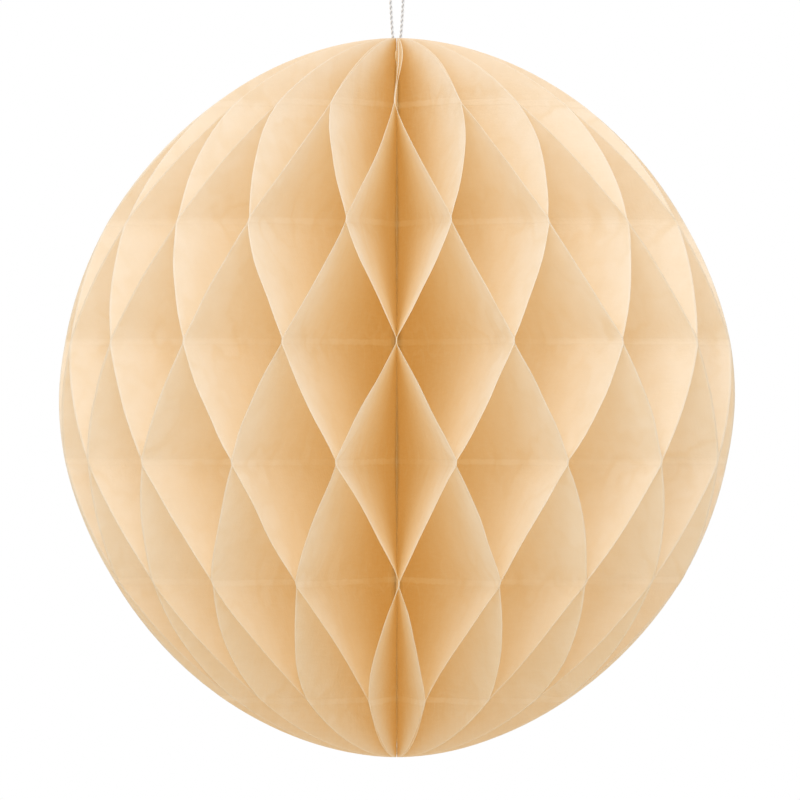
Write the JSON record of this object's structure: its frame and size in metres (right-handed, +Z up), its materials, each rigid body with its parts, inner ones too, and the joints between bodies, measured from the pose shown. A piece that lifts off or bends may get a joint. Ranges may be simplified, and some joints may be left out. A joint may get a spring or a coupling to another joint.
{
  "type": "paper honeycomb ball",
  "caption": "Hanging ball of glued tissue sheets that open as a honeycomb fan round a central spine and fold flat between two card covers, with a cord loop on top.",
  "frame": {"origin": "inside of the top of the cord loop, where a hook bears; the ball hangs below it", "axes": "+Z up along the spine; -Y is the front, where the fan folds flat; the closed seam is at the back, near +Y"},
  "size_m": [0.282, 0.2812, 0.3605],
  "materials": {
    "tissue_paper": "matte",
    "cover_card": "matte",
    "adhesive_pad": "matte",
    "dried_glue": "satin",
    "white_cord": "matte"
  },
  "bodies": {
    "spine": {"spine_binding": "dried_glue", "spine_thread": "white_cord", "loop_knot": "dried_glue", "bottom_knot": "white_cord", "hanging_loop": "white_cord"},
    "right_cover": {"right_cover": "cover_card"},
    "left_cover": {"left_cover": "cover_card", "adhesive_pad_top": "adhesive_pad", "adhesive_pad_middle": "adhesive_pad", "adhesive_pad_bottom": "adhesive_pad"},
    "sheet_01": {"tissue_sheet_01": "tissue_paper"},
    "sheet_02": {"tissue_sheet_02": "tissue_paper"},
    "sheet_03": {"tissue_sheet_03": "tissue_paper"},
    "sheet_04": {"tissue_sheet_04": "tissue_paper"},
    "sheet_05": {"tissue_sheet_05": "tissue_paper"},
    "sheet_06": {"tissue_sheet_06": "tissue_paper"},
    "sheet_07": {"tissue_sheet_07": "tissue_paper"},
    "sheet_08": {"tissue_sheet_08": "tissue_paper"},
    "sheet_09": {"tissue_sheet_09": "tissue_paper"},
    "sheet_10": {"tissue_sheet_10": "tissue_paper"},
    "sheet_11": {"tissue_sheet_11": "tissue_paper"},
    "sheet_12": {"tissue_sheet_12": "tissue_paper"},
    "sheet_13": {"tissue_sheet_13": "tissue_paper"},
    "sheet_14": {"tissue_sheet_14": "tissue_paper"},
    "sheet_15": {"tissue_sheet_15": "tissue_paper"},
    "sheet_16": {"tissue_sheet_16": "tissue_paper"},
    "sheet_17": {"tissue_sheet_17": "tissue_paper"},
    "sheet_18": {"tissue_sheet_18": "tissue_paper"},
    "sheet_19": {"tissue_sheet_19": "tissue_paper"},
    "sheet_20": {"tissue_sheet_20": "tissue_paper"},
    "sheet_21": {"tissue_sheet_21": "tissue_paper"},
    "sheet_22": {"tissue_sheet_22": "tissue_paper"},
    "sheet_23": {"tissue_sheet_23": "tissue_paper"},
    "sheet_24": {"tissue_sheet_24": "tissue_paper"},
    "sheet_25": {"tissue_sheet_25": "tissue_paper"},
    "sheet_26": {"tissue_sheet_26": "tissue_paper"},
    "sheet_27": {"tissue_sheet_27": "tissue_paper"},
    "sheet_28": {"tissue_sheet_28": "tissue_paper"},
    "sheet_29": {"tissue_sheet_29": "tissue_paper"},
    "sheet_30": {"tissue_sheet_30": "tissue_paper"},
    "sheet_31": {"tissue_sheet_31": "tissue_paper"},
    "sheet_32": {"tissue_sheet_32": "tissue_paper"},
    "sheet_33": {"tissue_sheet_33": "tissue_paper"},
    "sheet_34": {"tissue_sheet_34": "tissue_paper"},
    "sheet_35": {"tissue_sheet_35": "tissue_paper"},
    "sheet_36": {"tissue_sheet_36": "tissue_paper"}
  },
  "joints": [
    {"name": "right_cover_fold", "type": "hinge", "parent": "spine", "child": "right_cover", "pos_m": [0.00133, 0.00011, -0.20925], "axis": [0, 0, 1], "range_deg": [-187.7, 0]},
    {"name": "left_cover_fold", "type": "hinge", "parent": "spine", "child": "left_cover", "pos_m": [-0.00133, -0.00011, -0.20925], "axis": [0, 0, 1], "range_deg": [-0.15, 168.85]},
    {"name": "sheet_01_fold", "type": "hinge", "parent": "spine", "child": "sheet_01", "pos_m": [-0.00083, -0.00011, -0.20925], "axis": [0, 0, 1], "range_deg": [-0.15, 163.93], "deforming": ["tissue_sheet_01"]},
    {"name": "sheet_02_fold", "type": "hinge", "parent": "spine", "child": "sheet_02", "pos_m": [-0.00078, -0.00017, -0.20925], "axis": [0, 0, 1], "range_deg": [-0.15, 154.18], "deforming": ["tissue_sheet_02"]},
    {"name": "sheet_03_fold", "type": "hinge", "parent": "spine", "child": "sheet_03", "pos_m": [-0.00073, -0.00022, -0.20925], "axis": [0, 0, 1], "range_deg": [-0.15, 144.56], "deforming": ["tissue_sheet_03"]},
    {"name": "sheet_04_fold", "type": "hinge", "parent": "spine", "child": "sheet_04", "pos_m": [-0.00068, -0.00027, -0.20925], "axis": [0, 0, 1], "range_deg": [-0.15, 135.07], "deforming": ["tissue_sheet_04"]},
    {"name": "sheet_05_fold", "type": "hinge", "parent": "spine", "child": "sheet_05", "pos_m": [-0.00063, -0.00032, -0.20925], "axis": [0, 0, 1], "range_deg": [-0.15, 125.7], "deforming": ["tissue_sheet_05"]},
    {"name": "sheet_06_fold", "type": "hinge", "parent": "spine", "child": "sheet_06", "pos_m": [-0.00059, -0.00036, -0.20925], "axis": [0, 0, 1], "range_deg": [-0.15, 116.43], "deforming": ["tissue_sheet_06"]},
    {"name": "sheet_07_fold", "type": "hinge", "parent": "spine", "child": "sheet_07", "pos_m": [-0.00054, -0.00039, -0.20925], "axis": [0, 0, 1], "range_deg": [-0.15, 107.25], "deforming": ["tissue_sheet_07"]},
    {"name": "sheet_08_fold", "type": "hinge", "parent": "spine", "child": "sheet_08", "pos_m": [-0.00049, -0.00042, -0.20925], "axis": [0, 0, 1], "range_deg": [-0.15, 98.12], "deforming": ["tissue_sheet_08"]},
    {"name": "sheet_09_fold", "type": "hinge", "parent": "spine", "child": "sheet_09", "pos_m": [-0.00045, -0.00045, -0.20925], "axis": [0, 0, 1], "range_deg": [-0.15, 89.03], "deforming": ["tissue_sheet_09"]},
    {"name": "sheet_10_fold", "type": "hinge", "parent": "spine", "child": "sheet_10", "pos_m": [-0.0004, -0.00048, -0.20925], "axis": [0, 0, 1], "range_deg": [-0.15, 79.96], "deforming": ["tissue_sheet_10"]},
    {"name": "sheet_11_fold", "type": "hinge", "parent": "spine", "child": "sheet_11", "pos_m": [-0.00036, -0.0005, -0.20925], "axis": [0, 0, 1], "range_deg": [-0.15, 70.87], "deforming": ["tissue_sheet_11"]},
    {"name": "sheet_12_fold", "type": "hinge", "parent": "spine", "child": "sheet_12", "pos_m": [-0.00031, -0.00052, -0.20925], "axis": [0, 0, 1], "range_deg": [-0.15, 61.75], "deforming": ["tissue_sheet_12"]},
    {"name": "sheet_13_fold", "type": "hinge", "parent": "spine", "child": "sheet_13", "pos_m": [-0.00026, -0.00053, -0.20925], "axis": [0, 0, 1], "range_deg": [-0.15, 52.56], "deforming": ["tissue_sheet_13"]},
    {"name": "sheet_14_fold", "type": "hinge", "parent": "spine", "child": "sheet_14", "pos_m": [-0.00022, -0.00055, -0.20925], "axis": [0, 0, 1], "range_deg": [-0.15, 43.3], "deforming": ["tissue_sheet_14"]},
    {"name": "sheet_15_fold", "type": "hinge", "parent": "spine", "child": "sheet_15", "pos_m": [-0.00017, -0.00056, -0.20925], "axis": [0, 0, 1], "range_deg": [-0.15, 33.93], "deforming": ["tissue_sheet_15"]},
    {"name": "sheet_16_fold", "type": "hinge", "parent": "spine", "child": "sheet_16", "pos_m": [-0.00012, -0.00056, -0.20925], "axis": [0, 0, 1], "range_deg": [-0.15, 24.44], "deforming": ["tissue_sheet_16"]},
    {"name": "sheet_17_fold", "type": "hinge", "parent": "spine", "child": "sheet_17", "pos_m": [-0.00007, -0.00057, -0.20925], "axis": [0, 0, 1], "range_deg": [-0.15, 14.82], "deforming": ["tissue_sheet_17"]},
    {"name": "sheet_18_fold", "type": "hinge", "parent": "spine", "child": "sheet_18", "pos_m": [-0.00002, -0.00057, -0.20925], "axis": [0, 0, 1], "range_deg": [-0.15, 5.06], "deforming": ["tissue_sheet_18"]},
    {"name": "sheet_19_fold", "type": "hinge", "parent": "spine", "child": "sheet_19", "pos_m": [0.00003, -0.00057, -0.20925], "axis": [0, 0, 1], "range_deg": [-5.14, 0.15], "deforming": ["tissue_sheet_19"]},
    {"name": "sheet_20_fold", "type": "hinge", "parent": "spine", "child": "sheet_20", "pos_m": [0.00008, -0.00057, -0.20925], "axis": [0, 0, 1], "range_deg": [-15.18, 0.15], "deforming": ["tissue_sheet_20"]},
    {"name": "sheet_21_fold", "type": "hinge", "parent": "spine", "child": "sheet_21", "pos_m": [0.00013, -0.00056, -0.20925], "axis": [0, 0, 1], "range_deg": [-25.36, 0.15], "deforming": ["tissue_sheet_21"]},
    {"name": "sheet_22_fold", "type": "hinge", "parent": "spine", "child": "sheet_22", "pos_m": [0.00018, -0.00055, -0.20925], "axis": [0, 0, 1], "range_deg": [-35.67, 0.15], "deforming": ["tissue_sheet_22"]},
    {"name": "sheet_23_fold", "type": "hinge", "parent": "spine", "child": "sheet_23", "pos_m": [0.00023, -0.00054, -0.20925], "axis": [0, 0, 1], "range_deg": [-46.1, 0.15], "deforming": ["tissue_sheet_23"]},
    {"name": "sheet_24_fold", "type": "hinge", "parent": "spine", "child": "sheet_24", "pos_m": [0.00029, -0.00052, -0.20925], "axis": [0, 0, 1], "range_deg": [-56.64, 0.15], "deforming": ["tissue_sheet_24"]},
    {"name": "sheet_25_fold", "type": "hinge", "parent": "spine", "child": "sheet_25", "pos_m": [0.00034, -0.0005, -0.20925], "axis": [0, 0, 1], "range_deg": [-67.25, 0.15], "deforming": ["tissue_sheet_25"]},
    {"name": "sheet_26_fold", "type": "hinge", "parent": "spine", "child": "sheet_26", "pos_m": [0.00039, -0.00048, -0.20925], "axis": [0, 0, 1], "range_deg": [-77.93, 0.15], "deforming": ["tissue_sheet_26"]},
    {"name": "sheet_27_fold", "type": "hinge", "parent": "spine", "child": "sheet_27", "pos_m": [0.00045, -0.00045, -0.20925], "axis": [0, 0, 1], "range_deg": [-88.64, 0.15], "deforming": ["tissue_sheet_27"]},
    {"name": "sheet_28_fold", "type": "hinge", "parent": "spine", "child": "sheet_28", "pos_m": [0.0005, -0.00042, -0.20925], "axis": [0, 0, 1], "range_deg": [-99.36, 0.15], "deforming": ["tissue_sheet_28"]},
    {"name": "sheet_29_fold", "type": "hinge", "parent": "spine", "child": "sheet_29", "pos_m": [0.00056, -0.00038, -0.20925], "axis": [0, 0, 1], "range_deg": [-110.08, 0.15], "deforming": ["tissue_sheet_29"]},
    {"name": "sheet_30_fold", "type": "hinge", "parent": "spine", "child": "sheet_30", "pos_m": [0.00061, -0.00034, -0.20925], "axis": [0, 0, 1], "range_deg": [-120.75, 0.15], "deforming": ["tissue_sheet_30"]},
    {"name": "sheet_31_fold", "type": "hinge", "parent": "spine", "child": "sheet_31", "pos_m": [0.00066, -0.00029, -0.20925], "axis": [0, 0, 1], "range_deg": [-131.37, 0.15], "deforming": ["tissue_sheet_31"]},
    {"name": "sheet_32_fold", "type": "hinge", "parent": "spine", "child": "sheet_32", "pos_m": [0.00072, -0.00024, -0.20925], "axis": [0, 0, 1], "range_deg": [-141.9, 0.15], "deforming": ["tissue_sheet_32"]},
    {"name": "sheet_33_fold", "type": "hinge", "parent": "spine", "child": "sheet_33", "pos_m": [0.00077, -0.00018, -0.20925], "axis": [0, 0, 1], "range_deg": [-152.33, 0.15], "deforming": ["tissue_sheet_33"]},
    {"name": "sheet_34_fold", "type": "hinge", "parent": "spine", "child": "sheet_34", "pos_m": [0.00082, -0.00011, -0.20925], "axis": [0, 0, 1], "range_deg": [-162.64, 0.15], "deforming": ["tissue_sheet_34"]},
    {"name": "sheet_35_fold", "type": "hinge", "parent": "spine", "child": "sheet_35", "pos_m": [0.00087, -0.00004, -0.20925], "axis": [0, 0, 1], "range_deg": [-172.82, 0.15], "deforming": ["tissue_sheet_35"]},
    {"name": "sheet_36_fold", "type": "hinge", "parent": "spine", "child": "sheet_36", "pos_m": [0.00092, 0.00004, -0.20925], "axis": [0, 0, 1], "range_deg": [-182.87, 0.15], "deforming": ["tissue_sheet_36"]}
  ],
  "couplings": [
    {"joint": "left_cover_fold", "follows": "right_cover_fold", "ratio": -0.89873},
    {"joint": "sheet_01_fold", "follows": "right_cover_fold", "ratio": -0.87255},
    {"joint": "sheet_02_fold", "follows": "right_cover_fold", "ratio": -0.82058},
    {"joint": "sheet_03_fold", "follows": "right_cover_fold", "ratio": -0.76934},
    {"joint": "sheet_04_fold", "follows": "right_cover_fold", "ratio": -0.71879},
    {"joint": "sheet_05_fold", "follows": "right_cover_fold", "ratio": -0.66888},
    {"joint": "sheet_06_fold", "follows": "right_cover_fold", "ratio": -0.6195},
    {"joint": "sheet_07_fold", "follows": "right_cover_fold", "ratio": -0.57056},
    {"joint": "sheet_08_fold", "follows": "right_cover_fold", "ratio": -0.52195},
    {"joint": "sheet_09_fold", "follows": "right_cover_fold", "ratio": -0.47354},
    {"joint": "sheet_10_fold", "follows": "right_cover_fold", "ratio": -0.42519},
    {"joint": "sheet_11_fold", "follows": "right_cover_fold", "ratio": -0.37678},
    {"joint": "sheet_12_fold", "follows": "right_cover_fold", "ratio": -0.32817},
    {"joint": "sheet_13_fold", "follows": "right_cover_fold", "ratio": -0.27923},
    {"joint": "sheet_14_fold", "follows": "right_cover_fold", "ratio": -0.22986},
    {"joint": "sheet_15_fold", "follows": "right_cover_fold", "ratio": -0.17994},
    {"joint": "sheet_16_fold", "follows": "right_cover_fold", "ratio": -0.1294},
    {"joint": "sheet_17_fold", "follows": "right_cover_fold", "ratio": -0.078158},
    {"joint": "sheet_18_fold", "follows": "right_cover_fold", "ratio": -0.026179},
    {"joint": "sheet_19_fold", "follows": "right_cover_fold", "ratio": 0.026564},
    {"joint": "sheet_20_fold", "follows": "right_cover_fold", "ratio": 0.08007},
    {"joint": "sheet_21_fold", "follows": "right_cover_fold", "ratio": 0.13432},
    {"joint": "sheet_22_fold", "follows": "right_cover_fold", "ratio": 0.18926},
    {"joint": "sheet_23_fold", "follows": "right_cover_fold", "ratio": 0.24482},
    {"joint": "sheet_24_fold", "follows": "right_cover_fold", "ratio": 0.30094},
    {"joint": "sheet_25_fold", "follows": "right_cover_fold", "ratio": 0.35748},
    {"joint": "sheet_26_fold", "follows": "right_cover_fold", "ratio": 0.41436},
    {"joint": "sheet_27_fold", "follows": "right_cover_fold", "ratio": 0.47143},
    {"joint": "sheet_28_fold", "follows": "right_cover_fold", "ratio": 0.52857},
    {"joint": "sheet_29_fold", "follows": "right_cover_fold", "ratio": 0.58564},
    {"joint": "sheet_30_fold", "follows": "right_cover_fold", "ratio": 0.64251},
    {"joint": "sheet_31_fold", "follows": "right_cover_fold", "ratio": 0.69907},
    {"joint": "sheet_32_fold", "follows": "right_cover_fold", "ratio": 0.75518},
    {"joint": "sheet_33_fold", "follows": "right_cover_fold", "ratio": 0.81074},
    {"joint": "sheet_34_fold", "follows": "right_cover_fold", "ratio": 0.86568},
    {"joint": "sheet_35_fold", "follows": "right_cover_fold", "ratio": 0.91993},
    {"joint": "sheet_36_fold", "follows": "right_cover_fold", "ratio": 0.97344}
  ]
}
